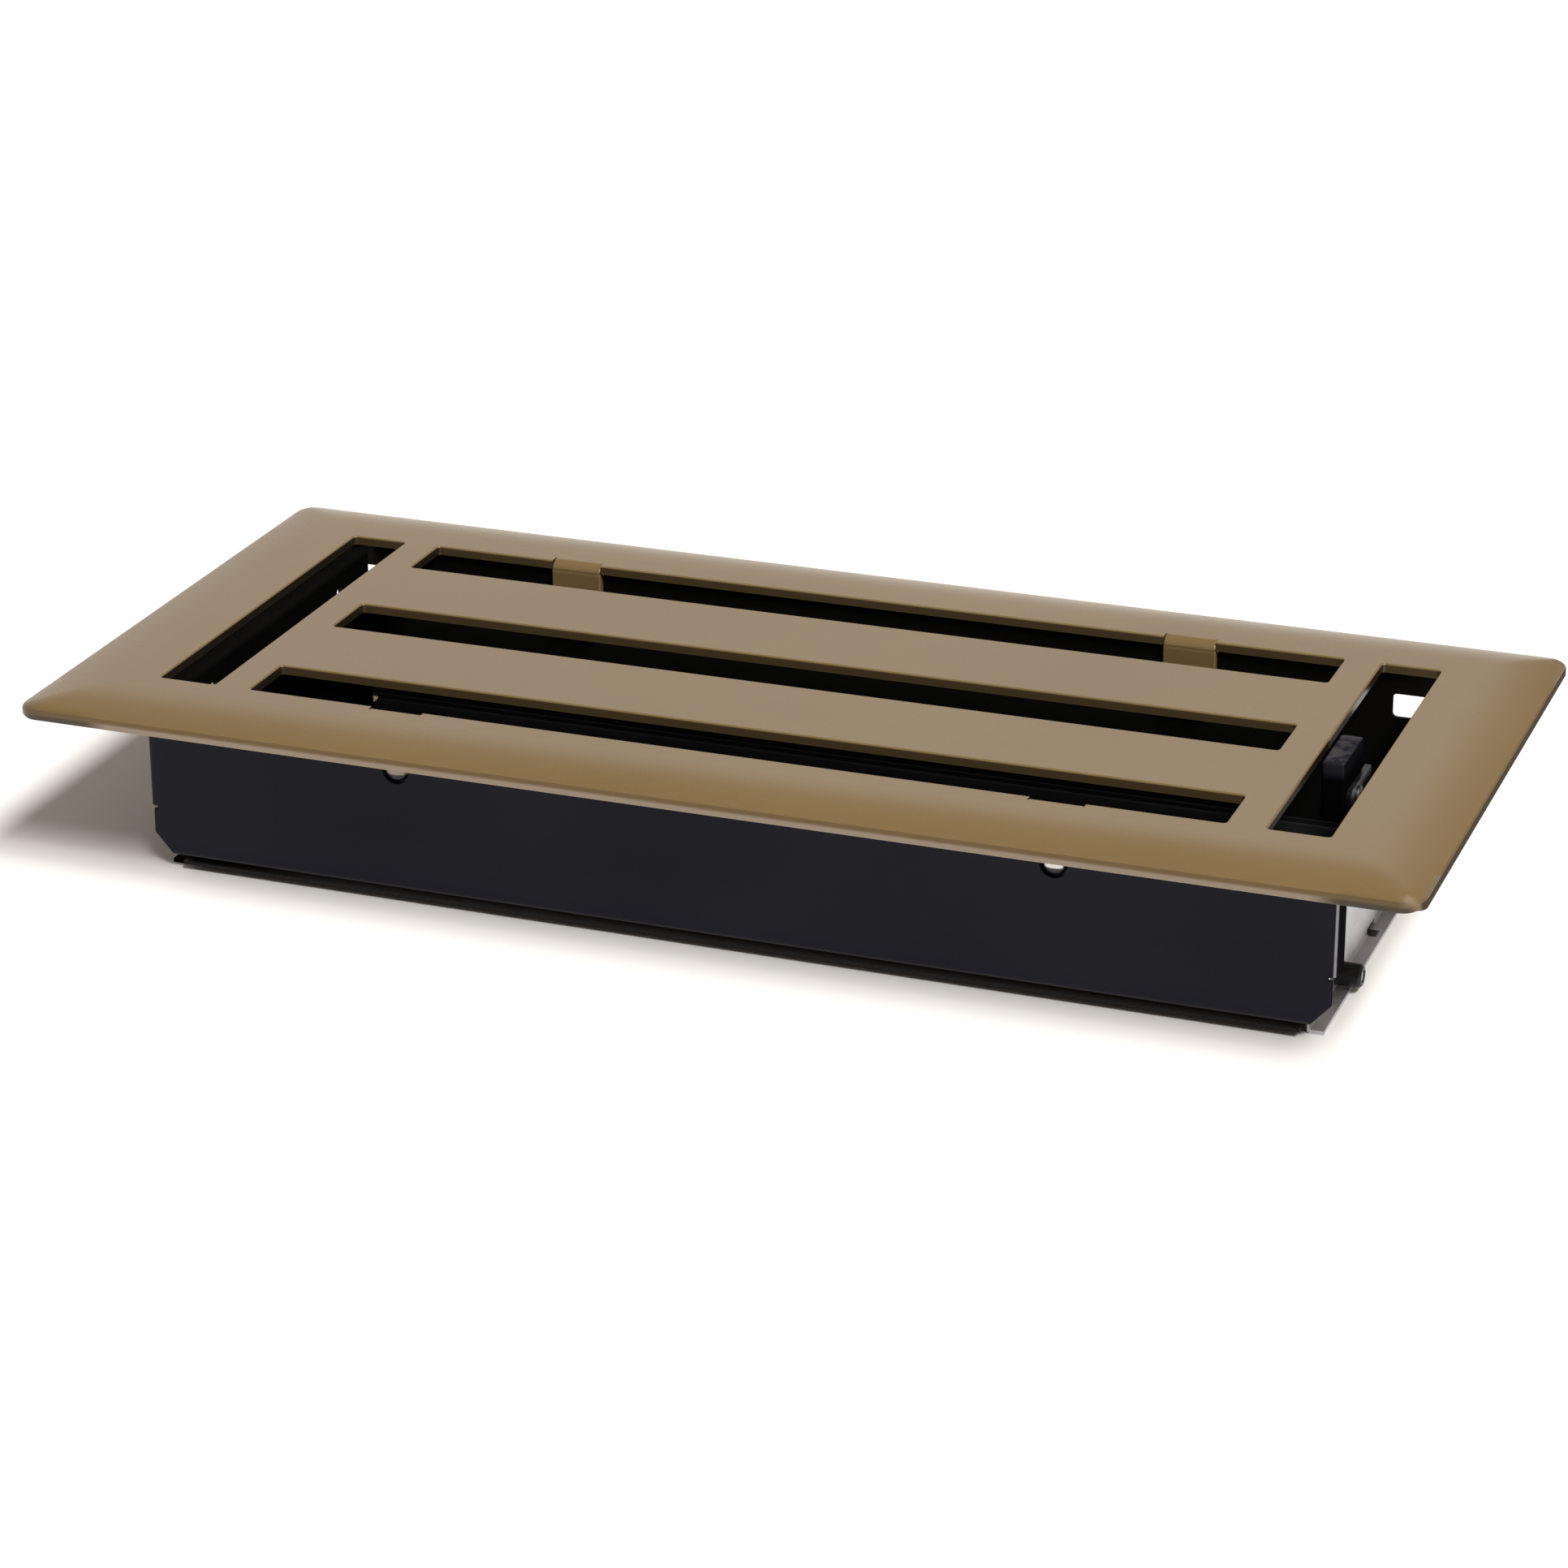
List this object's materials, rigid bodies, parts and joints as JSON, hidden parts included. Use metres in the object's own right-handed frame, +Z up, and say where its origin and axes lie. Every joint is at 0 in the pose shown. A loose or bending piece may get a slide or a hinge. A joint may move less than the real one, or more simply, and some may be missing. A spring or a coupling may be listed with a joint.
{
  "type": "floor register",
  "caption": "Rectangular pressed-steel floor register: slotted faceplate with a rolled-down rim over a shallow damper box with pivoting blades, link bar and thumb lever.",
  "frame": {"origin": "on the surface the register stands on, under the middle of the faceplate", "axes": "+X along the faceplate towards the lever end, +Y across it away from the viewer, +Z up"},
  "size_m": [0.289, 0.1336, 0.0415],
  "materials": {
    "faceplate_coating": "satin brass-coloured coating on steel",
    "wall_paint": "satin charcoal paint on steel",
    "galvanised_sheet": "galvanised",
    "blade_paint": "satin black paint on steel",
    "black_zinc": "black zinc plate",
    "lever_plastic": "moulded charcoal",
    "rivet_steel": "plain",
    "pin_steel": "plain turned",
    "bush_nylon": "moulded black"
  },
  "bodies": {
    "box": {"faceplate": "faceplate_coating", "near_side_wall": "wall_paint", "far_side_wall": "wall_paint", "left_end_wall": "wall_paint", "right_end_wall": "galvanised_sheet", "near_left_bush": "bush_nylon", "near_right_bush": "bush_nylon", "far_left_bush": "bush_nylon", "far_right_bush": "bush_nylon"},
    "near_damper": {"near_blade": "blade_paint", "near_left_pin": "pin_steel", "near_right_pin": "pin_steel"},
    "far_damper": {"far_blade": "blade_paint", "far_left_pin": "pin_steel", "far_right_pin": "pin_steel"},
    "link": {"link_bar": "black_zinc", "thumb_lever": "lever_plastic", "lever_rivet": "black_zinc", "near_link_rivet": "rivet_steel", "far_link_rivet": "rivet_steel"}
  },
  "joints": [
    {"name": "damper", "type": "hinge", "parent": "box", "child": "near_damper", "pos_m": [0, -0.0235, 0.0035], "axis": [1, 0, 0], "range_deg": [0, 80]},
    {"name": "far_blade_turn", "type": "hinge", "parent": "box", "child": "far_damper", "pos_m": [0, 0.0235, 0.0035], "axis": [1, 0, 0], "range_deg": [0, 80]},
    {"name": "link_turn", "type": "hinge", "parent": "near_damper", "child": "link", "pos_m": [0.1164, -0.01784, 0.00916], "axis": [1, 0, 0], "range_deg": [-80, 0]}
  ],
  "couplings": [
    {"joint": "far_blade_turn", "follows": "damper", "ratio": 1},
    {"joint": "link_turn", "follows": "damper", "ratio": -1}
  ]
}
